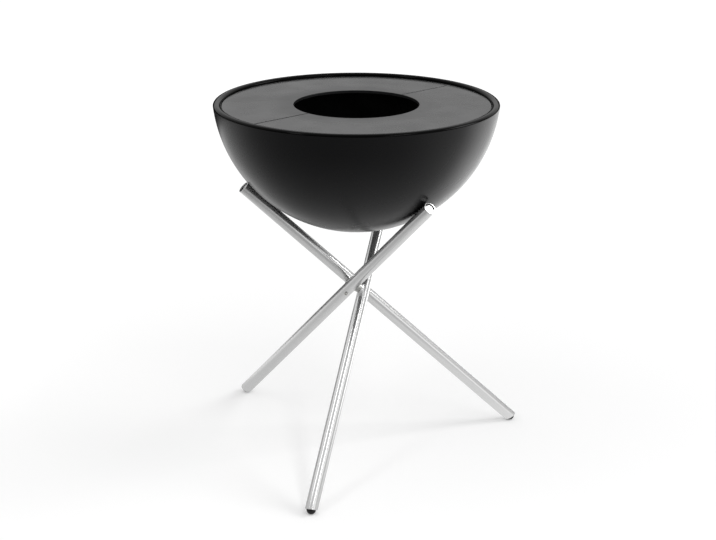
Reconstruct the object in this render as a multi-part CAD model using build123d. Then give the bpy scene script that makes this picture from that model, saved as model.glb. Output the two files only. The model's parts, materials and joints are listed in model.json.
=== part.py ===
from build123d import *

import math
import os

# Fire pit with a plancha grill, in millimetres, +Z up. A round steel bowl lies in the cradle of three
# stainless tubes that cross at a narrow waist, and a plancha in two half rings lies on a seat inside
# the bowl's lip. The origin is on the floor, under the middle of the bowl. +Y points away from the
# front leg's side, +X to the right.

# Bowl: a sphere from below, cut off by a lip. Heights on the bowl count from the sphere's middle.
bowl_radius = 286.0
bowl_wall = 2.5
rim_drop = 26.0
rim_width = 16.0
rim_crown = 4.5
rim_wall = 2.0

# Plancha and the seat that it lies on
plancha_recess = 6.0
plancha_thickness = 6.0
plancha_clearance = 1.0
fire_hole_radius = 125.0
seam_gap = 0.6
seam_angle = 42.2
plate_chamfer = 0.6
seat_width = 14.0
seat_thickness = 3.0

# Stand: three equal tubes, each leaning past the next one
tube_diameter = 25.0
tube_wall = 2.0
leg_lean = 46.06
leg_below_waist = 487.6
leg_overrun = 28.6
tube_chamfer = 0.5
left_foot_direction = 135.8
cradle_clearance = 0.3

# Feet: the tube's slanted lower end, filled by a plug with a round nose
foot_slant = 17.0
foot_flat_depth = 0.65
plug_step = 1.25
plug_stem = 25.0
press_gap = 0.03

# Upper ends: a disc in a sealing ring, set a little way into the tube
disc_recess = 2.5
disc_thickness = 1.5
seal_wall = 1.8
seal_lip = 1.5
seal_depth = 8.0

# Crossings: a screw through one tube and a saddle into an insert in the next tube
saddle_thickness = 3.0
saddle_diameter = 19.0
screw_diameter = 5.0
screw_head_diameter = 8.5
screw_head_height = 2.6
screw_head_round = 1.4
screw_socket_flats = 3.0
screw_socket_depth = 1.5
screw_hole_gap = 0.25
thread_gap = 0.03
insert_diameter = 7.0
insert_length = 12.0
insert_bulge_diameter = 9.0
insert_bulge_length = 3.0

legs = ["left", "front", "right"]

# Values worked out from the sizes above
lean = math.radians(leg_lean)
tube_radius = tube_diameter / 2
bore_radius = tube_radius - tube_wall
bowl_bore = bowl_radius - bowl_wall

rim_crest = -rim_drop
crown_base = rim_crest - rim_crown
plate_top = rim_crest - plancha_recess
seat_top = plate_top - plancha_thickness
seat_bottom = seat_top - seat_thickness
rim_outer = math.sqrt(bowl_radius**2 - crown_base**2)
rim_inner = rim_outer - rim_width
plancha_radius = rim_inner - plancha_clearance
seat_inner = plancha_radius - seat_width

# The plug's nose touches the floor with a small flat, so the tube's end stands that high.
nose_radius = bore_radius - plug_step
foot_height = nose_radius - foot_flat_depth

# Three equal lines that lean round one axis pass each other at this distance from it.
pair_distance = tube_diameter + saddle_thickness
pair_slope = math.sqrt(3 * math.cos(lean) ** 2 + 0.75 * math.sin(lean) ** 2)
waist_radius = pair_distance * pair_slope / (3 * math.cos(lean))
waist_height = foot_height + leg_below_waist * math.cos(lean)
crossing_offset = (
    waist_radius * math.sin(lean) * math.cos(math.pi / 6)
    / (1 + math.cos(lean) ** 2 - math.sin(lean) ** 2 / 2)
)

# The bowl rests where its sphere meets the three tubes, and each tube runs on past that place.
contact_distance = bowl_radius + tube_radius + cradle_clearance
bowl_above_waist = math.sqrt(contact_distance**2 - waist_radius**2) / math.sin(lean)
bowl_height = waist_height + bowl_above_waist
leg_above_waist = bowl_above_waist * math.cos(lean) + leg_overrun

foot_spread = leg_below_waist * math.sin(lean)
left_waist_direction = left_foot_direction + math.degrees(math.atan2(foot_spread, waist_radius))


def sphere_at(radius, height):
    """The radius of a sphere's level circle, this far above or below its middle."""
    return math.sqrt(radius**2 - height**2)


def spun(section, turn=360):
    """A ring or bowl from its section, with x as radius and y as height above the bowl's middle."""
    return Pos(0, 0, bowl_height) * revolve(Plane.XZ * section, Axis.Z, turn)


def bowl_arc(radius, low, high):
    """The arc of a sphere's outline between two heights."""
    middle = (low + high) / 2
    points = [(sphere_at(radius, height), height) for height in (low, middle, high)]
    return ThreePointArc(*points)


def make_bowl_shell():
    outer = bowl_arc(bowl_radius, -bowl_radius, seat_top)
    inner = bowl_arc(bowl_bore, -bowl_bore, seat_top)
    return spun(make_face([outer, Line(outer @ 1, inner @ 1), inner, Line(inner @ 0, outer @ 0)]))


def make_bowl_rim():
    """The lip: the bowl's wall goes on up, turns over in half an ellipse and comes down inside."""
    crown_middle = ((rim_outer + rim_inner) / 2, crown_base)
    under_outer = sphere_at(bowl_bore, crown_base)
    under_inner = rim_inner + rim_wall
    under_middle = ((under_outer + under_inner) / 2, crown_base)
    crown = EllipticalCenterArc(crown_middle, rim_width / 2, rim_crown, 0, arc_size=180)
    under = EllipticalCenterArc(
        under_middle, (under_outer - under_inner) / 2, rim_crown - rim_wall, 0, arc_size=180
    )
    outer = bowl_arc(bowl_radius, seat_top, crown_base)
    inner = bowl_arc(bowl_bore, seat_top, crown_base)
    return spun(make_face([
        outer,
        crown,
        Line((rim_inner, crown_base), (rim_inner, seat_top)),
        Line((rim_inner, seat_top), (under_inner, seat_top)),
        Line((under_inner, seat_top), (under_inner, crown_base)),
        under,
        inner,
        Line(inner @ 0, outer @ 0),
    ]))


def make_plancha_seat():
    """A flat ring welded inside the bowl's edge. The lip stands on it and the plates lie on it."""
    outer = sphere_at(bowl_bore, seat_bottom) - press_gap
    corners = [(seat_inner, seat_bottom), (outer, seat_bottom), (outer, seat_top), (seat_inner, seat_top)]
    return spun(make_face(Polyline(*corners, close=True)))


def make_plancha_half(turn):
    """Half of the cooking plate, with the seam along its straight edges, turned to its place."""
    section = make_face(Polyline(
        (fire_hole_radius, seat_top),
        (plancha_radius, seat_top),
        (plancha_radius, plate_top),
        (fire_hole_radius, plate_top),
        close=True,
    ))
    seam = Pos(0, 0, bowl_height + plate_top) * Box(2 * bowl_radius, seam_gap, 4 * plancha_thickness)
    half = spun(section, 180) - seam
    half = chamfer(half.faces().sort_by(Axis.Z)[-1].edges(), plate_chamfer)
    return Rot(0, 0, turn) * half


def leg_point(leg, distance):
    """A point on a leg's middle line, counted upwards from its place nearest the bowl's axis."""
    turn = math.radians(left_waist_direction + 120 * leg)
    across = distance * math.sin(lean)
    return Vector(
        waist_radius * math.cos(turn) - across * math.sin(turn),
        waist_radius * math.sin(turn) + across * math.cos(turn),
        waist_height + distance * math.cos(lean),
    )


def leg_frame(leg, distance):
    """A plane square to a leg, with z up along it and y sloping away from the floor side."""
    foot = leg_point(leg, distance)
    along = leg_point(leg, distance + 1) - foot
    outward = leg_point(leg, 0) - Vector(0, 0, waist_height)
    return Plane(foot, x_dir=outward, z_dir=along)


def crossing_frame(leg):
    """A plane on a leg's middle line where its screw sits, with z towards the leg that it is bolted to."""
    here = leg_point(leg, -crossing_offset)
    there = leg_point(leg - 1, crossing_offset)
    along = leg_point(leg, 0) - here
    return Plane(here, x_dir=along, z_dir=there - here)


def rod(frame, radius, low, high):
    """A round bar along a frame's z, between two distances from its origin."""
    return frame * Pos(0, 0, (low + high) / 2) * Cylinder(radius, high - low)


def sag(radius, half_chord):
    """How far a round surface falls away from its crown, this far to the side."""
    return radius - math.sqrt(radius**2 - half_chord**2)


def foot_cutter(leg):
    """What the slanted cut takes off the tube's lower end."""
    size = 6 * tube_diameter
    frame = leg_frame(leg, -leg_below_waist)
    return frame * Rot(foot_slant, 0, 0) * Pos(0, 0, -size / 2) * Box(size, size, size)


def make_leg(leg):
    """The tube, with a hole through it for its own screw and a hole for the insert on the other side."""
    low = leg_frame(leg, -leg_below_waist)
    length = leg_below_waist + leg_above_waist
    bar = rod(low, tube_radius, -tube_diameter, length)
    bar = chamfer(bar.faces().sort_by(Axis.Z)[-1].edges(), tube_chamfer)
    tube = bar - rod(low, bore_radius, -2 * tube_diameter, length + tube_diameter)
    tube -= foot_cutter(leg)
    tube -= rod(crossing_frame(leg), screw_diameter / 2 + screw_hole_gap, -tube_diameter, tube_diameter)
    next_leg = crossing_frame(leg + 1)
    tube -= rod(next_leg, insert_diameter / 2 + press_gap, pair_distance - tube_diameter, pair_distance)
    return tube


def make_foot_plug(leg):
    """A stem pressed into the tube, flush with its slanted end, and a round nose with a flat to stand on."""
    low = leg_frame(leg, -leg_below_waist)
    stem = rod(low, bore_radius - press_gap, -tube_diameter, plug_stem) - foot_cutter(leg)
    nose = low * Sphere(nose_radius)
    floor = Pos(low.origin.X, low.origin.Y, -tube_diameter) * Box(*[2 * tube_diameter] * 3)
    return stem + nose - floor


def make_end_seal(leg):
    """A ring with an inner lip, pressed into the tube's upper end to hold the disc."""
    top = leg_frame(leg, leg_above_waist)
    outer = bore_radius - press_gap
    ring = rod(top, outer, -disc_recess - seal_depth, -disc_recess)
    ring -= rod(top, outer - seal_wall, -disc_recess - disc_thickness, 0)
    return ring - rod(top, outer - seal_wall - seal_lip, -disc_recess - 2 * seal_depth, 0)


def make_end_disc(leg):
    top = leg_frame(leg, leg_above_waist)
    radius = bore_radius - 2 * press_gap - seal_wall
    return rod(top, radius, -disc_recess - disc_thickness, -disc_recess)


def make_crossing_saddle(leg):
    """A short round spacer, hollowed on both ends to the tubes that it keeps apart."""
    frame = crossing_frame(leg)
    spacer = rod(frame, saddle_diameter / 2, 0, pair_distance)
    spacer -= rod(frame, screw_diameter / 2 + screw_hole_gap, 0, pair_distance)
    for neighbour in (leg, leg - 1):
        reach = 2 * saddle_diameter
        spacer -= rod(leg_frame(neighbour, 0), tube_radius + press_gap, -reach, reach)
    return spacer


def insert_face():
    """How far from the screwed leg's middle line the insert starts: level with its hole's lowest edge."""
    return pair_distance - tube_radius + sag(tube_radius, insert_diameter / 2)


def make_crossing_screw(leg):
    """A low round head with a hexagon socket, and a shank that reaches through the next tube's insert."""
    frame = crossing_frame(leg)
    head_top = -tube_radius - screw_head_height
    head = rod(frame, screw_head_diameter / 2, head_top, -tube_radius)
    top_edge = head.edges().group_by(lambda edge: frame.to_local_coords(edge.center()).Z)[0]
    head = fillet(top_edge, screw_head_round)
    shank = rod(frame, screw_diameter / 2, -tube_radius, insert_face() + insert_length)
    flats = RegularPolygon(screw_socket_flats / 2, 6, major_radius=False)
    return head + shank - frame * Pos(0, 0, head_top) * extrude(flats, screw_socket_depth)


def make_crossing_insert(leg):
    """A threaded sleeve in the next tube's wall, swollen behind the wall to hold it there."""
    frame = crossing_frame(leg)
    face = insert_face()
    sleeve = rod(frame, insert_diameter / 2, face, face + insert_length)
    # The bore's wall curves away sideways, so the swelling starts that much below its crown.
    bulge_radius = insert_bulge_diameter / 2
    bulge = pair_distance - bore_radius + sag(bore_radius, bulge_radius) + press_gap
    sleeve += rod(frame, bulge_radius, bulge, bulge + insert_bulge_length)
    return sleeve - rod(frame, screw_diameter / 2 + thread_gap, face - insert_length, face + 2 * insert_length)


def save(shape, node):
    export_step(shape, f"parts/{node}.step")
    size = shape.bounding_box().size
    print(f"{node}: {shape.volume:.0f} mm3, {size.X:.1f} x {size.Y:.1f} x {size.Z:.1f} mm")


os.makedirs("parts", exist_ok=True)
print(f"waist radius {waist_radius:.2f}, waist height {waist_height:.1f}, bowl height {bowl_height:.1f}")
print(f"crossing offset {crossing_offset:.2f}, leg above waist {leg_above_waist:.1f}")

save(make_bowl_shell(), "bowl_shell")
save(make_bowl_rim(), "bowl_rim")
save(make_plancha_seat(), "plancha_seat")
save(make_plancha_half(seam_angle), "plancha_back")
save(make_plancha_half(seam_angle + 180), "plancha_front")

for number, side in enumerate(legs):
    save(make_leg(number), f"leg_{side}")
    save(make_foot_plug(number), f"foot_plug_{side}")
    save(make_end_seal(number), f"end_seal_{side}")
    save(make_end_disc(number), f"end_disc_{side}")
    save(make_crossing_saddle(number), f"crossing_saddle_{side}")
    save(make_crossing_screw(number), f"crossing_screw_{side}")
    save(make_crossing_insert(number), f"crossing_insert_{side}")
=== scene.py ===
# %% [markdown]
# # Fire pit with a plancha grill
#
# A gloss black bowl lies in a cradle of three stainless tubes that cross at a narrow waist. A flat
# cooking plate in two half rings lies inside the bowl's lip, round a large open hole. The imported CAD
# model is the frame: it says where each piece is and how it moves. This lesson builds the pieces that
# show most again as fine meshes, gives every piece a finish, and lights them in a plain white studio.

# %% Load the frame
import bmesh
import bpy
import json
import math
import numpy as np
from mathutils import Matrix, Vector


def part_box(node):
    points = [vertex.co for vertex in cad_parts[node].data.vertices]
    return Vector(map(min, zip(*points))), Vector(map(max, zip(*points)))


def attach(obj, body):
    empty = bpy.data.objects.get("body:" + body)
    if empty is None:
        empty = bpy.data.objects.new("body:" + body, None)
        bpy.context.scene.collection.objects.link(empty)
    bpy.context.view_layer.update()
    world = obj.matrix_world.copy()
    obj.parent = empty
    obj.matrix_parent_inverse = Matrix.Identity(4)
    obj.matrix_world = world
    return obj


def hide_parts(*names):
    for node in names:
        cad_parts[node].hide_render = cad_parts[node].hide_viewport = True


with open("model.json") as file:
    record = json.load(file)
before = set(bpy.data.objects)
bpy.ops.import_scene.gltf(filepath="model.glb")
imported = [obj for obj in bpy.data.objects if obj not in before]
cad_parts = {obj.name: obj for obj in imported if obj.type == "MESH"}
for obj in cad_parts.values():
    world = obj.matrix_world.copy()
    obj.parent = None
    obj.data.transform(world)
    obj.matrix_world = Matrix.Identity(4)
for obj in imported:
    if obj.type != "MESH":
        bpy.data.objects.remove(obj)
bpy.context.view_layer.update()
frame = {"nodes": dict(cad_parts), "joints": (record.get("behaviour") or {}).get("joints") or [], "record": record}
mm = 0.001

# %% [markdown]
# ## Sizes
#
# Places come from the frame: the middle of the bowl's sphere is the point that the bowl tilts about,
# and the tubes stand on the three foot mounts. Walls and small radii are real sizes that the frame's
# triangles only come near, so they're written here, in millimetres. Heights on the bowl count from
# the middle of its sphere.

# %% Sizes of the bowl and the plate
tilt = next(joint for joint in frame["joints"] if joint["name"] == "bowl_tilt")
bowl_centre = np.array(tilt["pos_m"])

bowl_radius = 286 * mm
bowl_wall = 2.5 * mm
bowl_bore = bowl_radius - bowl_wall
lip_width = 16 * mm
lip_crown = 4.5 * mm
lip_wall = 2 * mm
crown_base = -30.5 * mm
plate_top = -32 * mm
plate_bottom = -38 * mm
plate_clearance = 1 * mm
plate_edge_round = 0.6 * mm
fire_hole_radius = 125 * mm
seam_gap = 0.6 * mm
seam_angle = math.radians(42.2)

lip_outer = math.sqrt(bowl_radius**2 - crown_base**2)
lip_inner = lip_outer - lip_width
plate_radius = lip_inner - plate_clearance
bowl_depth = bowl_centre[2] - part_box("bowl_shell")[0].z
print(f"bowl radius {bowl_radius / mm:.2f} mm here, {bowl_depth / mm:.2f} mm in the frame")

# %% [markdown]
# ## From a formula to a mesh
#
# Every new piece here is a surface over a grid: one direction runs along a section, the other round
# an axis. NumPy works out all points at once, and each square of the grid is a face. A direction
# that comes back to its start is closed by joining its last line to its first. Where a section
# starts or ends on the axis, its points fall together and are welded, which closes the pole. The
# volume's sign tells whether the faces point outwards, so an inside-out piece is turned at once.

# %% Faces of a grid
weld_distance = 0.001 * mm
sharp_angle = math.radians(35)
cubic_cm = (10 * mm) ** 3


def point_numbers(points):
    """The numbers of a grid's points (rows, columns, 3), laid out in its rows and columns."""
    return np.arange(points.shape[0] * points.shape[1]).reshape(points.shape[:2])


def grid_faces(points, close_rows):
    """The four corners of each square: rows a and b, columns c and d give ac, ad, bd, bc. Columns close."""
    numbers = point_numbers(points)
    closed = np.concatenate([numbers, numbers[:, :1]], axis=1)
    if close_rows:
        closed = np.concatenate([closed, closed[:1]], axis=0)
    corners = [closed[:-1, :-1], closed[:-1, 1:], closed[1:, 1:], closed[1:, :-1]]
    return np.stack(corners, axis=2).reshape(-1, 4).tolist()


def make_piece(name, points, faces, body, node):
    """A smooth mesh from points (rows, columns, 3) and corner numbers, which rides on a body for a node."""
    mesh = bpy.data.meshes.new(name)
    mesh.from_pydata(points.reshape(-1, 3).tolist(), [], faces)
    shape = bmesh.new()
    shape.from_mesh(mesh)
    bmesh.ops.remove_doubles(shape, verts=shape.verts, dist=weld_distance)
    if shape.calc_volume(signed=True) < 0:
        bmesh.ops.reverse_faces(shape, faces=shape.faces)
    volume = shape.calc_volume(signed=True)
    shape.to_mesh(mesh)
    shape.free()
    mesh.shade_smooth()
    mesh.set_sharp_from_angle(angle=sharp_angle)
    piece = bpy.data.objects.new(name, mesh)
    bpy.context.scene.collection.objects.link(piece)
    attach(piece, body)
    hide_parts(node)
    print(f"{name}: {len(mesh.polygons)} faces, {volume / cubic_cm:.1f} cm3")
    return piece


def full_turn(steps):
    """Even angles once round, without the last one, which is the first again."""
    return 2 * np.pi * np.arange(steps) / steps


def ring_points(radius, height, angle):
    """Points for rows of radius and height and columns of angle: x = r cos a, y = r sin a, z = h."""
    return np.stack([radius * np.cos(angle), radius * np.sin(angle), height + 0 * angle], axis=-1)


def spin(section, angle):
    """Carries a section, rows of (radius, height), round the z axis."""
    return ring_points(section[:, :1], section[:, 1:], angle)


# %% [markdown]
# ## The bowl
#
# The real bowl is a steel disc spun or pressed into part of a sphere and enamelled. A UV sphere cut
# by hand would leave its wall without thickness, so the section is written down: the outer arc from
# the bottom up, the cut edge, and the inner arc back down. Both ends lie on the axis. The inside
# gets its own finish later, by how far each face lies from the sphere's middle.

# %% Bowl body
def sphere_arc(radius, low, high, steps):
    """Rows of (radius, height) on a sphere's outline between two heights: r = R cos e, h = R sin e."""
    lift = np.linspace(math.asin(low / radius), math.asin(high / radius), steps)
    return radius * np.stack([np.cos(lift), np.sin(lift)], axis=-1)


bowl_turn = full_turn(192)
outer_arc = sphere_arc(bowl_radius, -bowl_radius, plate_bottom, steps=72)
inner_arc = sphere_arc(bowl_bore, -bowl_bore, plate_bottom, steps=56)[::-1]
bowl_points = spin(np.concatenate([outer_arc, inner_arc]), bowl_turn) + bowl_centre
bowl_body = make_piece("bowl_body", bowl_points, grid_faces(bowl_points, False),
                       "bowl", "bowl_shell")

# %% [markdown]
# ## The lip
#
# The bowl's wall goes on up, rolls over in a low crown and comes down inside as a collar that the
# plate lies in. Its section is a closed loop: the sphere's arc outside, half an ellipse over the
# top, the collar, and the same again on the underside, one wall thickness away.

# %% Bowl lip
def half_ellipse(outer, inner, rise, steps):
    """Rows over the top of an ellipse, from outside to inside: r = m + a cos t, h = b sin t."""
    turn = np.linspace(0, np.pi, steps)
    radius = (outer + inner) / 2 + (outer - inner) / 2 * np.cos(turn)
    return np.stack([radius, crown_base + rise * np.sin(turn)], axis=-1)


under_outer = math.sqrt(bowl_bore**2 - crown_base**2)
under_inner = lip_inner + lip_wall
lip_section = np.concatenate([
    sphere_arc(bowl_radius, plate_bottom, crown_base, steps=6),
    half_ellipse(lip_outer, lip_inner, lip_crown, steps=33)[1:],
    [(lip_inner, plate_bottom), (under_inner, plate_bottom)],
    half_ellipse(under_outer, under_inner, lip_crown - lip_wall, steps=17)[::-1],
    sphere_arc(bowl_bore, plate_bottom, crown_base, steps=4)[-2::-1],
])
lip_points = spin(lip_section, bowl_turn) + bowl_centre
bowl_lip = make_piece("bowl_lip", lip_points, grid_faces(lip_points, True),
                      "bowl", "bowl_rim")

# %% [markdown]
# ## The plancha
#
# The cooking plate is cut from flat steel plate in two half rings, with a hair of a seam between
# them. Each half is one section, carried from seam to seam, and closed by a flat face at both ends.
# The seam's edges are parallel to the middle line, so a small radius starts at a wider angle than a
# large one. A Bevel modifier breaks the edges, as a grinder does after the plate is cut.

# %% Plancha halves
plate_section = np.array([
    (fire_hole_radius, plate_bottom),
    (plate_radius, plate_bottom),
    (plate_radius, plate_top),
    (fire_hole_radius, plate_top),
])
plate_steps = 161


def half_ring(turn):
    """A row at radius r runs from the angle asin(g / 2r) to its mirror image, g being the seam's gap."""
    start = np.arcsin(seam_gap / 2 / plate_section[:, :1])
    angle = turn + start + (np.pi - 2 * start) * np.linspace(0, 1, plate_steps)
    return spin(plate_section, angle) + bowl_centre


plates = []
for side, turn in (("back", seam_angle), ("front", seam_angle + math.pi)):
    points = half_ring(turn)
    numbers = point_numbers(points)
    squares = np.reshape(grid_faces(points, True), (len(plate_section), plate_steps, 4))
    faces = squares[:, :-1].reshape(-1, 4).tolist()
    faces += [numbers[::-1, 0].tolist(), numbers[:, -1].tolist()]
    plate = make_piece(f"plate_{side}", points, faces, f"plancha_{side}", f"plancha_{side}")
    bevel = plate.modifiers.new("broken edges", "BEVEL")
    bevel.width, bevel.segments, bevel.harden_normals = plate_edge_round, 3, True
    plates.append(plate)

# %% [markdown]
# ## Where the tubes are
#
# A tube's middle line runs from its foot to the disc in its upper end. Each foot rests on a mount of
# the record, with the line's end a little above the floor, because the round nose of the foot plug
# is flattened where it stands. The middle of the disc's box is on the line too. From those two
# points comes a tube's own frame: z along it, x level, y completing the three.

# %% Tube frames
legs = ["left", "front", "right"]
tube_radius = 12.5 * mm
tube_wall = 2 * mm
bore_radius = tube_radius - tube_wall
foot_height = 8.6 * mm
foot_slant = math.radians(17)
disc_recess = 2.5 * mm
disc_thickness = 1.5 * mm


def unit(vector):
    return vector / np.linalg.norm(vector)


def axes_along(along, level):
    """Three unit rows x, y, z: z along the piece, x square to it near the given direction, y = z x x."""
    side = unit(level - along * (level @ along))
    return np.stack([side, np.cross(along, side), along])


feet, tops, tube_axes = [], [], []
for leg in legs:
    mount = next(mount for mount in frame["record"]["mounts"] if mount["name"] == f"foot_{leg}")
    low_corner, high_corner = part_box(f"end_disc_{leg}")
    foot = np.array(mount["pos_m"]) + [0, 0, foot_height]
    disc = np.array(low_corner + high_corner) / 2
    along = unit(disc - foot)
    feet.append(foot)
    tops.append(disc + along * (disc_recess + disc_thickness / 2))
    tube_axes.append(axes_along(along, np.cross(along, [0, 0, 1])))
    print(f"tube {leg}: {np.linalg.norm(tops[-1] - foot) / mm:.1f} mm long")

# %% [markdown]
# ## The tubes
#
# Each leg is a length of stainless tube, cut square at the top and at a slant at the foot. The
# section is a closed loop again: out over the broken edge of the foot, up the outside, over the
# upper edge, and down the bore. A row's height is a mix of the slanted foot and the square top. The
# polishing marks run round the tube, so the mesh keeps two things for its finish: a UV map with its
# u direction along the tube, and each point's place in the tube's own frame.

# %% Leg tubes
edge_break = 0.5 * mm
tube_steps = 64
quarter = np.linspace(-np.pi / 2, 0, 5)
low_round = np.stack([tube_radius - edge_break + edge_break * np.cos(quarter),
                      0 * quarter, edge_break + edge_break * np.sin(quarter)], axis=-1)
top_round = (low_round * [1, 1, -1] + [0, 1, 0])[::-1]
wall_rows = np.linspace(0, 1, 13)[1:-1, None] * [0, 1, 0] + [tube_radius, 0, 0]
bore_rows = np.linspace(1, 0, 9)[:, None] * [0, 1, 0] + [bore_radius, 0, 0]
tube_rows = np.concatenate([low_round, wall_rows, top_round, bore_rows])


def tube_surface(length):
    """x = r cos a, y = r sin a, z = (1 - s) r sin a tan(slant) + s L + offset, for rows (r, s, offset)."""
    angle = full_turn(tube_steps)
    radius, share, offset = tube_rows[:, :1], tube_rows[:, 1:2], tube_rows[:, 2:]
    slanted_foot = radius * np.sin(angle) * math.tan(foot_slant)
    return ring_points(radius, (1 - share) * slanted_foot + share * length + offset, angle)


tubes = []
for leg, foot, top, axes in zip(legs, feet, tops, tube_axes):
    local = tube_surface(np.linalg.norm(top - foot))
    tube = make_piece(f"tube_{leg}", local @ axes + foot, grid_faces(local, True),
                      "stand", f"leg_{leg}")
    place = tube.data.attributes.new("tube_place", "FLOAT_VECTOR", "POINT")
    place.data.foreach_set("vector", local.astype(np.float32).ravel())
    corner = np.zeros(len(tube.data.loops), np.int32)
    tube.data.loops.foreach_get("vertex_index", corner)
    column, height = corner % tube_steps, local.reshape(-1, 3)[corner, 2]
    square = column.reshape(-1, 4)
    wrapped = square + tube_steps * ((square == 0) & (square.max(axis=1, keepdims=True) == tube_steps - 1))
    around = wrapped.ravel() * (2 * math.pi * tube_radius / tube_steps)
    tube.data.uv_layers.new(name="grain").data.foreach_set("uv", np.stack([height, around], axis=-1).ravel())
    tubes.append(tube)

# %% [markdown]
# ## The upper ends
#
# Each tube is closed by a polished steel disc that sits a little inside it, in a black sealing ring.
# Both are turned about the tube's line. The ring's section is an L with a rounded front edge: the
# disc lies on its foot. The disc has a broken edge and a very slightly crowned face, which is what
# makes a real pressed disc catch the light.

# %% Sealing rings and discs
press_gap = 0.03 * mm
seal_outer = bore_radius - press_gap
seal_seat = seal_outer - 1.8 * mm
seal_bore = seal_seat - 1.5 * mm
seal_depth = 8 * mm
seal_round = 0.5 * mm
disc_radius = seal_seat - press_gap
disc_crown = 0.12 * mm
disc_round = 0.3 * mm
end_turn = full_turn(64)


def arc_rows(middle, radius, start, end, steps):
    """Rows of (radius, height) on a small arc, with its angles counted in degrees from the radius."""
    turn = np.radians(np.linspace(start, end, steps))
    return np.array(middle) + radius * np.stack([np.cos(turn), np.sin(turn)], axis=-1)


seal_section = np.concatenate([
    [(seal_outer, -disc_recess - seal_depth)],
    arc_rows((seal_outer - seal_round, -disc_recess - seal_round), seal_round, 0, 90, 5),
    arc_rows((seal_seat + seal_round, -disc_recess - seal_round), seal_round, 90, 180, 5),
    [(seal_seat, -disc_recess - disc_thickness), (seal_bore, -disc_recess - disc_thickness),
     (seal_bore, -disc_recess - seal_depth)],
])
face_radius = np.linspace(0, disc_radius - disc_round, 9)
face_height = -disc_recess - disc_crown * (face_radius / disc_radius) ** 2
rim_middle = (disc_radius - disc_round, face_height[-1] - disc_round)
disc_section = np.concatenate([
    np.stack([face_radius, face_height], axis=-1),
    arc_rows(rim_middle, disc_round, 90, 0, 5)[1:],
    [(disc_radius, -disc_recess - disc_thickness), (0, -disc_recess - disc_thickness)],
])
end_pieces = []
for leg, top, axes in zip(legs, tops, tube_axes):
    for kind, section, closed, slot in (("seal", seal_section, True, "black_rubber"),
                                        ("disc", disc_section, False, "stainless_disc")):
        points = spin(section, end_turn) @ axes + top
        end_pieces.append(make_piece(f"upper_{kind}_{leg}", points, grid_faces(points, closed),
                                     "stand", f"end_{kind}_{leg}"))

# %% [markdown]
# ## The screws at the crossings
#
# At each crossing a low round screw goes through one tube into the next. The line between the two
# nearest points of their middle lines is the screw's axis. Its surface starts in the middle of the
# hexagon socket: a few rings are hexagons, and the ring outside them is a circle, so the flat face
# of the head blends from one to the other. The head's rounded shoulder, its flat underside and the
# shank follow.

# %% Crossing screws
head_radius = 4.25 * mm
head_height = 2.6 * mm
head_round = 1.4 * mm
socket_apothem = 1.5 * mm
socket_depth = 1.5 * mm
socket_edge = 0.15 * mm
shank_radius = 2.5 * mm
shank_end = 28.1 * mm
screw_turn = full_turn(72)


def nearest_points(point, along, other_point, other_along):
    """The points where two lines come nearest: both differences' parts along the two lines vanish."""
    gap = other_point - point
    cosine = along @ other_along
    bend = 1 - cosine**2
    here = point + along * ((gap @ along - cosine * (gap @ other_along)) / bend)
    there = other_point + other_along * ((cosine * (gap @ along) - gap @ other_along) / bend)
    return here, there


def hexagon(apothem, angle):
    """A hexagon's radius by angle: a / cos of the angle from the middle of the nearest flat."""
    sixth = np.pi / 3
    return apothem / np.cos(angle % sixth - sixth / 2)


def screw_surface():
    """Rows from the socket's floor out over the head and along the shank, the first ones hexagons."""
    head_top = -tube_radius - head_height
    socket_floor = head_top + socket_depth
    socket = [(0, socket_floor), (socket_apothem, socket_floor), (socket_apothem, head_top + socket_edge),
              (socket_apothem + socket_edge, head_top)]
    shoulder = arc_rows((head_radius - head_round, head_top + head_round), head_round, -90, 0, 9)
    rest = [(head_radius, -tube_radius), (shank_radius, -tube_radius),
            (shank_radius, shank_end - socket_edge), (shank_radius - socket_edge, shank_end), (0, shank_end)]
    section = np.concatenate([socket, shoulder, rest])
    radius = section[:, :1] + 0 * screw_turn
    radius[:len(socket)] = hexagon(section[:len(socket), :1], screw_turn)
    return ring_points(radius, section[:, 1:], screw_turn)


screws = []
for number, leg in enumerate(legs):
    here, there = nearest_points(feet[number], tube_axes[number][2],
                                 feet[number - 1], tube_axes[number - 1][2])
    points = screw_surface() @ axes_along(unit(there - here), tube_axes[number][2]) + here
    screws.append(make_piece(f"screw_{leg}", points, grid_faces(points, False),
                             "stand", f"crossing_screw_{leg}"))
    print(f"tubes pass each other {np.linalg.norm(there - here) / mm:.2f} mm apart, line to line")

# %% [markdown]
# ## Finishes
#
# Every finish is one Principled shader, with nodes only where something varies over the surface. A
# colour is written as it looks on a screen, and one function turns it into the linear numbers that
# the renderer works with. One small function adds a node, sets its properties, and fills or links
# its sockets, and another links the finished outputs to the shader. Blender's noise keeps mostly
# between 0.3 and 0.7, so each pattern is spread from there over the range that it drives.

# %% Colours and nodes
def linear(colour):
    """An sRGB hex colour as linear RGBA: c / 12.92 below 0.04045, else ((c + 0.055) / 1.055) ** 2.4."""
    shares = np.array([int(colour[i:i + 2], 16) for i in (1, 3, 5)]) / 255
    bright = ((shares + 0.055) / 1.055) ** 2.4
    return (*np.where(shares <= 0.04045, shares / 12.92, bright).tolist(), 1.0)


def node(tree, kind, inputs={}, **settings):
    """Adds one node. Settings are its properties; inputs are its sockets, each a value or an output."""
    made = tree.nodes.new(kind)
    for name, value in settings.items():
        setattr(made, name, value)
    for socket, value in inputs.items():
        if isinstance(value, bpy.types.NodeSocket):
            tree.links.new(value, made.inputs[socket])
        else:
            made.inputs[socket].default_value = value
    return made


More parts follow.
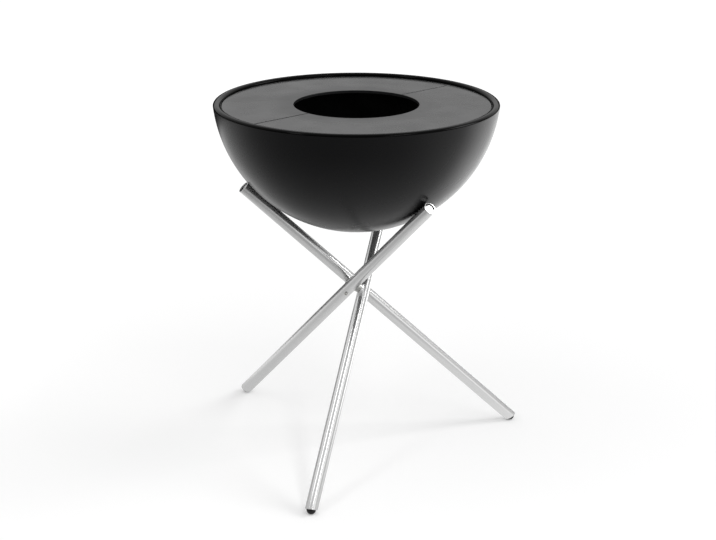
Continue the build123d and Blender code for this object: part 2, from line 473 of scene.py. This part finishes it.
def start_finish(name, **sockets):
    """A material with one Principled shader, and the values of its constant sockets."""
    material = bpy.data.materials.new(name)
    material.use_nodes = True
    tree = material.node_tree
    shader = tree.nodes["Principled BSDF"]
    for socket, value in sockets.items():
        shader.inputs[socket.replace("_", " ")].default_value = value
    return material, tree, shader


def drive(shader, **sockets):
    """Links outputs to a shader's sockets."""
    for socket, output in sockets.items():
        shader.id_data.links.new(output, shader.inputs[socket.replace("_", " ")])


noise_span = {"From Min": 0.3, "From Max": 0.7}

# %% [markdown]
# ## Black enamel
#
# The outside of the bowl and its lip are gloss vitreous enamel: black glass melted onto steel. To
# the eye it is a near-black mirror, brighter towards its outline, with the faint waviness of a
# sprayed and fired coat. Orange peel on such a coat is about 6 mm from crest to crest and a few
# thousandths of a millimetre high, and broad hazy patches make the gloss a little uneven. The lip is
# wiped each time the plate is cleaned, so it keeps a sharper gloss than the body. The lip's copy of
# the coat is also given a darker colour and a weaker reflection than the body's, which is painted
# shade: it keeps the lip near black where it would otherwise mirror the grey ceiling.

# %% Gloss enamel
enamels = {}
# painted shade: the lip's copy of the coat is darker and reflects less than the bowl's
for part, colour_hex, smooth, dull, mirror in (("bowl", "#0b0b0c", 0.22, 0.3, 0.25),
                                               ("lip", "#030303", 0.06, 0.1, 0.05)):
    enamel, tree, shader = start_finish(f"gloss_vitreous_enamel_{part}", Base_Color=linear(colour_hex),
                                        IOR=1.5, Specular_IOR_Level=mirror)
    place = node(tree, "ShaderNodeTexCoord").outputs["Object"]
    peel = node(tree, "ShaderNodeTexNoise", {"Vector": place, "Scale": 1 / (6 * mm), "Detail": 1.0})
    haze = node(tree, "ShaderNodeTexNoise", {"Vector": place, "Scale": 1 / (70 * mm), "Detail": 3.0})
    rough = node(tree, "ShaderNodeMapRange", {"Value": haze.outputs["Fac"], **noise_span,
                                              "To Min": smooth, "To Max": dull})
    bump = node(tree, "ShaderNodeBump", {"Height": peel.outputs["Fac"], "Distance": 0.006 * mm})
    drive(shader, Roughness=rough.outputs["Result"], Normal=bump.outputs["Normal"])
    enamels[part] = enamel
print("enamels:", list(enamels))

# %% [markdown]
# ## Fired enamel
#
# Inside, heat has taken the gloss of the same coat, and fine pale ash clings in the lower part of the
# bowl. A height gradient, broken up by noise, mixes ash grey into the black, and the surface is rough
# and slightly crusted, with grains of about 2 mm.

# %% Fired enamel
bowl_bottom = bowl_centre[2] - bowl_radius
ash_height = 150 * mm
fired, tree, shader = start_finish("fired_enamel", IOR=1.5)
place = node(tree, "ShaderNodeTexCoord").outputs["Object"]
patches = node(tree, "ShaderNodeTexNoise", {"Vector": place, "Scale": 1 / (45 * mm), "Detail": 6.0})
crust = node(tree, "ShaderNodeTexNoise", {"Vector": place, "Scale": 1 / (2 * mm), "Detail": 3.0})
height = node(tree, "ShaderNodeSeparateXYZ", {"Vector": place}).outputs["Z"]
ash = node(tree, "ShaderNodeMapRange", {"Value": height, "From Min": bowl_bottom + ash_height,
                                        "From Max": bowl_bottom, "To Min": 0.0, "To Max": 1.0})
ash_share = node(tree, "ShaderNodeMath", {0: ash.outputs["Result"], 1: patches.outputs["Fac"]},
                 operation="MULTIPLY")
colour = node(tree, "ShaderNodeMix", {"Factor": ash_share.outputs["Value"], "A": linear("#0d0d0d"),
                                      "B": linear("#4a4846")}, data_type="RGBA")
rough = node(tree, "ShaderNodeMapRange", {"Value": patches.outputs["Fac"], **noise_span,
                                          "To Min": 0.5, "To Max": 0.85})
bump = node(tree, "ShaderNodeBump", {"Height": crust.outputs["Fac"], "Distance": 0.08 * mm})
drive(shader, Base_Color=colour.outputs["Result"], Roughness=rough.outputs["Result"],
      Normal=bump.outputs["Normal"])
print("fired enamel:", len(tree.nodes), "nodes")

# %% [markdown]
# ## Plancha steel
#
# The plate is hot-rolled steel, blasted and baked with a thin black seasoning. Seen along the
# surface it mirrors the bright room behind it as a soft grey, so it is a dark satin dielectric, not
# bare metal. Use leaves faint cloudy patches, and the heat from the hole leaves a slightly duller
# ring round it. Blasting leaves pits of about half a millimetre.

# %% Seasoned plate
heat_ring = 60 * mm
plate_finish, tree, shader = start_finish("seasoned_plate_steel", IOR=1.5, Specular_IOR_Level=0.47)
place = node(tree, "ShaderNodeTexCoord").outputs["Object"]
clouds = node(tree, "ShaderNodeTexNoise", {"Vector": place, "Scale": 1 / (80 * mm), "Detail": 5.0,
                                           "Roughness": 0.6})
pits = node(tree, "ShaderNodeTexNoise", {"Vector": place, "Scale": 1 / (0.5 * mm), "Detail": 2.0})
level = node(tree, "ShaderNodeVectorMath", {0: place, 1: (1, 1, 0)}, operation="MULTIPLY")
from_hole = node(tree, "ShaderNodeVectorMath", {0: level.outputs["Vector"]}, operation="LENGTH")
heat = node(tree, "ShaderNodeMapRange", {"Value": from_hole.outputs["Value"], "From Min": fire_hole_radius,
                                         "From Max": fire_hole_radius + heat_ring, "To Min": 0.06,
                                         "To Max": 0.0}, interpolation_type="SMOOTHSTEP")
worn = node(tree, "ShaderNodeMapRange", {"Value": clouds.outputs["Fac"], **noise_span,
                                         "To Min": 0.22, "To Max": 0.3})
rough = node(tree, "ShaderNodeMath", {0: worn.outputs["Result"], 1: heat.outputs["Result"]}, operation="ADD")
colour = node(tree, "ShaderNodeMix", {"Factor": clouds.outputs["Fac"], "A": linear("#161617"),
                                      "B": linear("#202021")}, data_type="RGBA")
bump = node(tree, "ShaderNodeBump", {"Height": pits.outputs["Fac"], "Distance": 0.003 * mm})
drive(shader, Base_Color=colour.outputs["Result"], Roughness=rough.outputs["Value"],
      Normal=bump.outputs["Normal"])
print("plate steel:", len(tree.nodes), "nodes")

# %% [markdown]
# ## Polished stainless steel
#
# The tubes are 304 stainless, polished on a belt while they turn. Scratches that run round the tube
# spread a highlight along it and keep it tight across it, so the room shows as long crisp streaks.
# That is what the anisotropy and the UV tangent give. Real polishing marks are hundredths of a
# millimetre wide, too fine to show from here, so the bands are drawn 0.5 mm wide and 15 mm long. So
# fine a grain also scatters some light evenly, which a metallic value a little under 1 stands for.

# %% Tube steel
grain_length = 15 * mm
grain_width = 0.5 * mm
tube_steel, tree, shader = start_finish("polished_stainless_steel", Base_Color=linear("#f1f1f1"),
                                        Metallic=0.88, Anisotropic=0.8)
place = node(tree, "ShaderNodeAttribute", attribute_name="tube_place").outputs["Vector"]
grain_scale = (1 / grain_length, 1 / grain_length, 1 / grain_width)
grain_place = node(tree, "ShaderNodeVectorMath", {0: place, 1: grain_scale}, operation="MULTIPLY")
grain = node(tree, "ShaderNodeTexNoise", {"Vector": grain_place.outputs["Vector"], "Scale": 1.0,
                                          "Detail": 2.0})
smears = node(tree, "ShaderNodeTexNoise", {"Vector": place, "Scale": 1 / (35 * mm), "Detail": 4.0})
mixed = node(tree, "ShaderNodeMix", {"Factor": 0.5, "A": grain.outputs["Fac"], "B": smears.outputs["Fac"]})
rough = node(tree, "ShaderNodeMapRange", {"Value": mixed.outputs["Result"], **noise_span,
                                          "To Min": 0.15, "To Max": 0.22})
bump = node(tree, "ShaderNodeBump", {"Height": grain.outputs["Fac"], "Distance": 0.003 * mm})
tangent = node(tree, "ShaderNodeTangent", direction_type="UV_MAP", uv_map="grain")
drive(shader, Roughness=rough.outputs["Result"], Normal=bump.outputs["Normal"],
      Tangent=tangent.outputs["Tangent"])
print("tube steel:", len(tree.nodes), "nodes")

# %% [markdown]
# ## Satin disc, bright screws and spacers
#
# The discs and the small turned parts are the same steel with other surfaces: the disc is lapped to
# an even satin, the screws are rolled and tumbled bright, and the saddles between the tubes are
# turned and blasted, duller than the rest. A fine speckle about 0.4 mm wide keeps each from looking
# like a perfect mirror.

# %% Small steel parts
small_finishes = {}
for name, colour_hex, smooth, dull in (("lapped_stainless_disc", "#f0f0f0", 0.16, 0.24),
                                       ("tumbled_stainless_screw", "#e0dfdc", 0.12, 0.2),
                                       ("blasted_stainless_spacer", "#cfcfcc", 0.34, 0.44)):
    finish, tree, shader = start_finish(name, Base_Color=linear(colour_hex), Metallic=1.0)
    place = node(tree, "ShaderNodeTexCoord").outputs["Object"]
    speckle = node(tree, "ShaderNodeTexNoise", {"Vector": place, "Scale": 1 / (0.4 * mm), "Detail": 2.0})
    rough = node(tree, "ShaderNodeMapRange", {"Value": speckle.outputs["Fac"], **noise_span,
                                              "To Min": smooth, "To Max": dull})
    bump = node(tree, "ShaderNodeBump", {"Height": speckle.outputs["Fac"], "Distance": 0.002 * mm})
    drive(shader, Roughness=rough.outputs["Result"], Normal=bump.outputs["Normal"])
    small_finishes[name] = finish
print("small steel finishes:", list(small_finishes))

# %% [markdown]
# ## Moulded rubber
#
# The foot plugs and the sealing rings are moulded EPDM rubber: a deep grey-black with a matt skin,
# slightly paler where it has rubbed. The mould's fine texture is about 0.6 mm.

# %% Rubber
rubber, tree, shader = start_finish("moulded_epdm_rubber", IOR=1.5)
place = node(tree, "ShaderNodeTexCoord").outputs["Object"]
skin = node(tree, "ShaderNodeTexNoise", {"Vector": place, "Scale": 1 / (0.6 * mm), "Detail": 2.0})
rubbed = node(tree, "ShaderNodeTexNoise", {"Vector": place, "Scale": 1 / (8 * mm), "Detail": 3.0})
colour = node(tree, "ShaderNodeMix", {"Factor": rubbed.outputs["Fac"], "A": linear("#101011"),
                                      "B": linear("#1d1d1e")}, data_type="RGBA")
rough = node(tree, "ShaderNodeMapRange", {"Value": rubbed.outputs["Fac"], "To Min": 0.5, "To Max": 0.65})
bump = node(tree, "ShaderNodeBump", {"Height": skin.outputs["Fac"], "Distance": 0.02 * mm})
drive(shader, Base_Color=colour.outputs["Result"], Roughness=rough.outputs["Result"],
      Normal=bump.outputs["Normal"])
print("rubber:", len(tree.nodes), "nodes")

# %% [markdown]
# ## Which piece has which finish
#
# The bowl's body has two slots: a face belongs to the inside when its middle is nearer the sphere's
# middle than the middle of the wall is. The lip has two as well, since the body's coat goes on up its
# outer wall as far as the crown. The CAD nodes whose shape is right already, the seat, the
# saddles, the threaded inserts and the foot plugs, are shown as they are and get a finish in their
# own material slots.

# %% Finishes of the bowl and its lip
def give_two(piece, finish, other_finish, choose_other):
    """Gives the other finish to the faces that a test of their middles, from the sphere's middle, picks."""
    middles = np.zeros(3 * len(piece.data.polygons), np.float32)
    piece.data.polygons.foreach_get("center", middles)
    chosen = choose_other(middles.reshape(-1, 3) - bowl_centre)
    piece.data.materials.append(finish)
    piece.data.materials.append(other_finish)
    piece.data.polygons.foreach_set("material_index", chosen.astype(np.int32))
    print(f"{piece.name}: {int(chosen.sum())} of {len(chosen)} faces in {other_finish.name}")


def past_mid_wall(middles):
    """Whether a point lies further from the sphere's middle than the middle of the wall does."""
    return np.linalg.norm(middles, axis=1) > bowl_radius - bowl_wall / 2


give_two(bowl_body, enamels["bowl"], fired, lambda middles: ~past_mid_wall(middles))
give_two(bowl_lip, enamels["lip"], enamels["bowl"],
         lambda middles: past_mid_wall(middles) & (middles[:, 2] < crown_base))

# %% Finishes of the other pieces
new_pieces = {**dict.fromkeys(plates, plate_finish), **dict.fromkeys(tubes, tube_steel),
              **dict.fromkeys(screws, small_finishes["tumbled_stainless_screw"])}
for piece in end_pieces:
    new_pieces[piece] = rubber if "seal" in piece.name else small_finishes["lapped_stainless_disc"]
for piece, finish in new_pieces.items():
    piece.data.materials.append(finish)

cad_finishes = {"plancha_seat": fired, "foot_plug": rubber,
                "crossing_saddle": small_finishes["blasted_stainless_spacer"],
                "crossing_insert": small_finishes["tumbled_stainless_screw"]}
cad_shown = []
for name, shown in frame["nodes"].items():
    for start, finish in cad_finishes.items():
        if name.startswith(start):
            shown.data.materials.clear()
            shown.data.materials.append(finish)
            cad_shown.append(name)
print("CAD nodes shown with a finish:", cad_shown)

# %% [markdown]
# ## The studio
#
# The photograph is a cut-out on white, but the gloss still tells what stood round the object: a pale
# floor that is brightest behind, a bright wall behind and to the right, a dark room in front, and a
# middling grey ceiling. Two rows of grey levels, one for the floor and one for the air, run from the
# side that is dark to the side that is bright, and low on both sides the air is darker, which the
# tubes draw as grey bands beside their streaks. Behind the object a dark strip lies between floor and
# air, where the pale sweep ends, nearest at the left: the lip and the tubes draw it as the thin black
# line that sets their edges off from the white. A camera ray sees plain white, a glossy or
# transmitted ray sees those levels, and all other light is an even soft white that shows colours
# about as they are written.
#
# Directions in the air are unit vectors, so their z part says how high a ray goes, from 0 on the
# horizon to 1 overhead, and their y part how far it goes to the back. Each pair of such parts below
# says where a change begins and where it is complete.

# %% Levels round the object
bright_azimuth = math.radians(157)
bright_side = unit(np.array([math.sin(bright_azimuth), -math.cos(bright_azimuth), 0.0]))
white, black = (1.0, 1.0, 1.0, 1.0), (0.0, 0.0, 0.0, 1.0)
floor_levels = [(0.0, 0.24), (0.25, 0.42), (0.46, 0.72), (0.6, 0.88), (0.77, 1.0), (0.95, 0.72)]
air_levels = [(0.0, 0.2), (0.14, 0.16), (0.26, 0.5), (0.36, 0.95), (0.62, 0.95), (0.8, 0.84)]
overhead_level = 0.6
overhead_heights = {"From Min": 0.55, "From Max": 0.8}
low_air_share = 0.5
low_air_heights = {"From Min": 0.62, "From Max": 0.35}
sides_middle = 0.15
sides_reach = {"From Min": 0.6, "From Max": 0.4}
strip_level = 0.03
strip_heights = {"From Min": 0.2, "From Max": 0.12}
strip_depths = {"From Min": 0.45, "From Max": 0.6}
soft_light = 0.74


def grey(level):
    return (level, level, level, 1.0)


def ray_kinds(tree):
    """Two outputs: 1 for a ray from the camera, and 1 for a ray that something shiny or clear sends on."""
    path = node(tree, "ShaderNodeLightPath")
    shiny = node(tree, "ShaderNodeMath", {0: path.outputs["Is Glossy Ray"],
                                          1: path.outputs["Is Transmission Ray"]}, operation="MAXIMUM")
    return path.outputs["Is Camera Ray"], shiny.outputs["Value"]


def add_room(tree, direction, levels):
    """The room's grey level in a direction: its part towards the bright side, through a ramp."""
    towards = node(tree, "ShaderNodeVectorMath", {0: direction, 1: tuple(bright_side)},
                   operation="DOT_PRODUCT").outputs["Value"]
    share = node(tree, "ShaderNodeMapRange", {"Value": towards, "From Min": -1.0, "From Max": 1.0})
    ramp = node(tree, "ShaderNodeValToRGB", {"Fac": share.outputs["Result"]})
    stops = ramp.color_ramp.elements
    while len(stops) < len(levels):
        stops.new(0.5)
    for stop, (position, level) in zip(stops, levels):
        stop.position, stop.color = position, grey(level)
    return ramp.outputs["Color"]


print("bright side:", bright_side.round(3), "levels:", len(floor_levels), "floor,", len(air_levels), "air")

# %% World
world = bpy.data.worlds.new("studio")
bpy.context.scene.world = world
world.use_nodes = True
tree = world.node_tree
tree.nodes.clear()
camera_ray, shiny_ray = ray_kinds(tree)
direction = node(tree, "ShaderNodeTexCoord").outputs["Generated"]
parts = node(tree, "ShaderNodeSeparateXYZ", {"Vector": direction}).outputs
overhead = node(tree, "ShaderNodeMapRange", {"Value": parts["Z"], **overhead_heights},
                interpolation_type="SMOOTHSTEP")
room = node(tree, "ShaderNodeMix", {"Factor": overhead.outputs["Result"],
                                    "A": add_room(tree, direction, air_levels),
                                    "B": grey(overhead_level)}, data_type="RGBA")
low = node(tree, "ShaderNodeMapRange", {"Value": parts["Z"], **low_air_heights},
           interpolation_type="SMOOTHSTEP")
past_middle = node(tree, "ShaderNodeMath", {0: parts["Y"], 1: sides_middle}, operation="SUBTRACT")
from_middle = node(tree, "ShaderNodeMath", {0: past_middle.outputs["Value"]}, operation="ABSOLUTE")
aside = node(tree, "ShaderNodeMapRange", {"Value": from_middle.outputs["Value"], **sides_reach,
                                          "To Max": 1 - low_air_share}, interpolation_type="SMOOTHSTEP")
shade = node(tree, "ShaderNodeMath", {0: low.outputs["Result"], 1: aside.outputs["Result"]},
             operation="MULTIPLY")
sides = node(tree, "ShaderNodeMix", {"Factor": shade.outputs["Value"], "A": room.outputs["Result"],
                                     "B": black}, data_type="RGBA")
near_horizon = node(tree, "ShaderNodeMapRange", {"Value": parts["Z"], **strip_heights},
                    interpolation_type="SMOOTHSTEP")
behind = node(tree, "ShaderNodeMapRange", {"Value": parts["Y"], **strip_depths},
              interpolation_type="SMOOTHSTEP")
strip = node(tree, "ShaderNodeMath", {0: near_horizon.outputs["Result"], 1: behind.outputs["Result"]},
             operation="MULTIPLY")
air = node(tree, "ShaderNodeMix", {"Factor": strip.outputs["Value"], "A": sides.outputs["Result"],
                                   "B": grey(strip_level)}, data_type="RGBA")
lit = node(tree, "ShaderNodeMix", {"Factor": shiny_ray, "A": grey(soft_light),
                                   "B": air.outputs["Result"]}, data_type="RGBA")
shown = node(tree, "ShaderNodeMix", {"Factor": camera_ray, "A": lit.outputs["Result"], "B": white},
             data_type="RGBA")
background = node(tree, "ShaderNodeBackground", {"Color": shown.outputs["Result"]})
node(tree, "ShaderNodeOutputWorld", {"Surface": background.outputs["Background"]})
print("world:", len(tree.nodes), "nodes")

# %% [markdown]
# ## The floor
#
# The floor is a wide pale sheet. A camera ray sees its diffuse white, which keeps the object's soft
# shadow. A glow tops it up where less of the lamps' light falls, and brings the open floor to white,
# but no further, because a floor that is more than white would hide its shadows. A glossy ray sees
# the room's level at that place, which near the object gives way to the shade under the bowl, deeper
# on the left. Behind and to the right the floor is lighter, which the right side of the bowl
# mirrors, and far off behind it ends in the dark strip.

# %% Floor
floor_size = 30.0
floor_mesh = bpy.data.meshes.new("floor")
half = floor_size / 2
floor_corners = [(-half, -half, 0), (half, -half, 0), (half, half, 0), (-half, half, 0)]
floor_mesh.from_pydata(floor_corners, [], [(0, 1, 2, 3)])
floor = bpy.data.objects.new("floor", floor_mesh)
bpy.context.scene.collection.objects.link(floor)
print("floor:", floor_size, "m wide")

# %% Floor finish, with places and distances in metres
floor_albedo = 0.8
near_glow, far_glow = 0.09, 0.48
brightest_spot = (1.3, 0.1, 0.0)
glow_distances = {"From Min": 0.1, "From Max": 4.0}
shade_left, shade_right = 0.5, 0.68
shade_places = {"From Min": -0.35, "From Max": 0.15}
shade_distances = {"From Min": 0.15, "From Max": 1.1}
right_back = unit(np.array([0.64, 0.77, 0.0]))
right_glow = 1.3
right_glow_parts = {"From Min": 0.6, "From Max": 1.0}
left_back = unit(np.array([-0.5, 0.85, 0.0]))
sweep_distances = {"From Min": 1.95, "From Max": 2.45}

floor_finish = bpy.data.materials.new("studio_floor")
floor_finish.use_nodes = True
tree = floor_finish.node_tree
tree.nodes.clear()
camera_ray, shiny_ray = ray_kinds(tree)
place = node(tree, "ShaderNodeTexCoord").outputs["Object"]
outward = node(tree, "ShaderNodeVectorMath", {0: place}, operation="NORMALIZE").outputs["Vector"]
away = node(tree, "ShaderNodeVectorMath", {0: place}, operation="LENGTH").outputs["Value"]
far = node(tree, "ShaderNodeMapRange", {"Value": away, **shade_distances},
           interpolation_type="SMOOTHSTEP")
across = node(tree, "ShaderNodeSeparateXYZ", {"Vector": place}).outputs["X"]
shade = node(tree, "ShaderNodeMapRange", {"Value": across, **shade_places,
                                          "To Min": shade_left, "To Max": shade_right})
level = node(tree, "ShaderNodeMix", {"Factor": far.outputs["Result"], "A": shade.outputs["Result"],
                                     "B": add_room(tree, outward, floor_levels)}, data_type="RGBA")
towards_right = node(tree, "ShaderNodeVectorMath", {0: outward, 1: tuple(right_back)},
                     operation="DOT_PRODUCT")
lighter = node(tree, "ShaderNodeMapRange", {"Value": towards_right.outputs["Value"],
                                            **right_glow_parts, "To Max": right_glow},
               interpolation_type="SMOOTHSTEP")
beyond = node(tree, "ShaderNodeMath", {0: lighter.outputs["Result"], 1: far.outputs["Result"]},
              operation="MULTIPLY")
strength = node(tree, "ShaderNodeMath", {0: beyond.outputs["Value"], 1: 1.0}, operation="ADD")
backward = node(tree, "ShaderNodeVectorMath", {0: place, 1: tuple(left_back)}, operation="DOT_PRODUCT")
sweep_end = node(tree, "ShaderNodeMapRange", {"Value": backward.outputs["Value"], **sweep_distances},
                 interpolation_type="SMOOTHSTEP")
ground = node(tree, "ShaderNodeMix", {"Factor": sweep_end.outputs["Result"], "A": level.outputs["Result"],
                                      "B": grey(strip_level)}, data_type="RGBA")
mirrored = node(tree, "ShaderNodeEmission", {"Color": ground.outputs["Result"],
                                             "Strength": strength.outputs["Value"]})
from_lamps = node(tree, "ShaderNodeVectorMath", {0: place, 1: brightest_spot}, operation="DISTANCE")
top_up = node(tree, "ShaderNodeMapRange", {"Value": from_lamps.outputs["Value"], **glow_distances,
                                           "To Min": near_glow, "To Max": far_glow})
seen_glow = node(tree, "ShaderNodeMath", {0: top_up.outputs["Result"], 1: camera_ray}, operation="MULTIPLY")
glow = node(tree, "ShaderNodeEmission", {"Strength": seen_glow.outputs["Value"]})
sheet = node(tree, "ShaderNodeBsdfDiffuse", {"Color": grey(floor_albedo)})
lit = node(tree, "ShaderNodeAddShader", {0: sheet.outputs["BSDF"], 1: glow.outputs["Emission"]})
surface = node(tree, "ShaderNodeMixShader", {"Fac": shiny_ray, 1: lit.outputs["Shader"],
                                             2: mirrored.outputs["Emission"]})
node(tree, "ShaderNodeOutputMaterial", {"Surface": surface.outputs["Shader"]})
floor_mesh.materials.append(floor_finish)
print("floor finish:", len(tree.nodes), "nodes")

# %% [markdown]
# ## Lamps
#
# A long narrow soft box above and to the right draws the bright streak down the front tube and the
# short highlights on the lip, and a weaker one on the left draws the tube's second streak. Both lie
# along the places that the front tube mirrors, so their streaks run down its whole length. A larger
# box further right gives the legs their soft shadows to the left. Each is an area lamp. Its own frame
# is worked out as a tube's is: z from the object to the lamp, and x along the box's long side.

# %% Soft boxes: place, direction of the long side, size in metres, and power in watts
lamp_target = np.array([0, -0.2, 0.5])
for name, spot, long_side, width, depth, power in (
        ("key_strip", (0.99, -1.25, 2.4), (-0.1, 1.0, 0), 1.9, 0.3, 10.0),
        ("left_strip", (-1.245, -0.64, 2.5), (0.57, 0.82, 0), 1.78, 0.35, 5.0),
        ("right_box", (2.45, 0.45, 2.35), (-0.2, 1.0, 0), 1.2, 1.2, 30.0)):
    lamp = bpy.data.lights.new(name, "AREA")
    lamp.shape, lamp.size, lamp.size_y, lamp.energy = "RECTANGLE", width, depth, power
    holder = bpy.data.objects.new(name, lamp)
    bpy.context.scene.collection.objects.link(holder)
    holder.location = spot
    axes = axes_along(unit(np.array(spot) - lamp_target), unit(np.array(long_side)))
    holder.rotation_euler = Matrix(axes.T.tolist()).to_euler()
    print(f"{name}: radiance {power / (math.pi * width * depth):.2f}")

# %% [markdown]
# ## Camera
#
# The camera stands where the photograph's did, found from the feet, the tubes' ends and the lip's
# ellipse. The view transform is Standard, so a colour stays as it's written.

# %% Camera, with its sensor and lens in millimetres and its place in metres
camera_sensor, camera_lens = 36, 75.19
camera_place = (0.003466, -2.9161, 1.3864)
camera_pitch_down, camera_turn = 0.33245, 0.00109

camera_data = bpy.data.cameras.new("camera")
camera_data.sensor_width, camera_data.lens = camera_sensor, camera_lens
camera = bpy.data.objects.new("camera", camera_data)
bpy.context.scene.collection.objects.link(camera)
camera.location = camera_place
camera.rotation_mode = "ZYX"
camera.rotation_euler = (math.pi / 2 - camera_pitch_down, 0, camera_turn)
bpy.context.scene.camera = camera
bpy.context.scene.view_settings.view_transform = "Standard"
print("camera", tuple(round(value, 3) for value in camera.location))
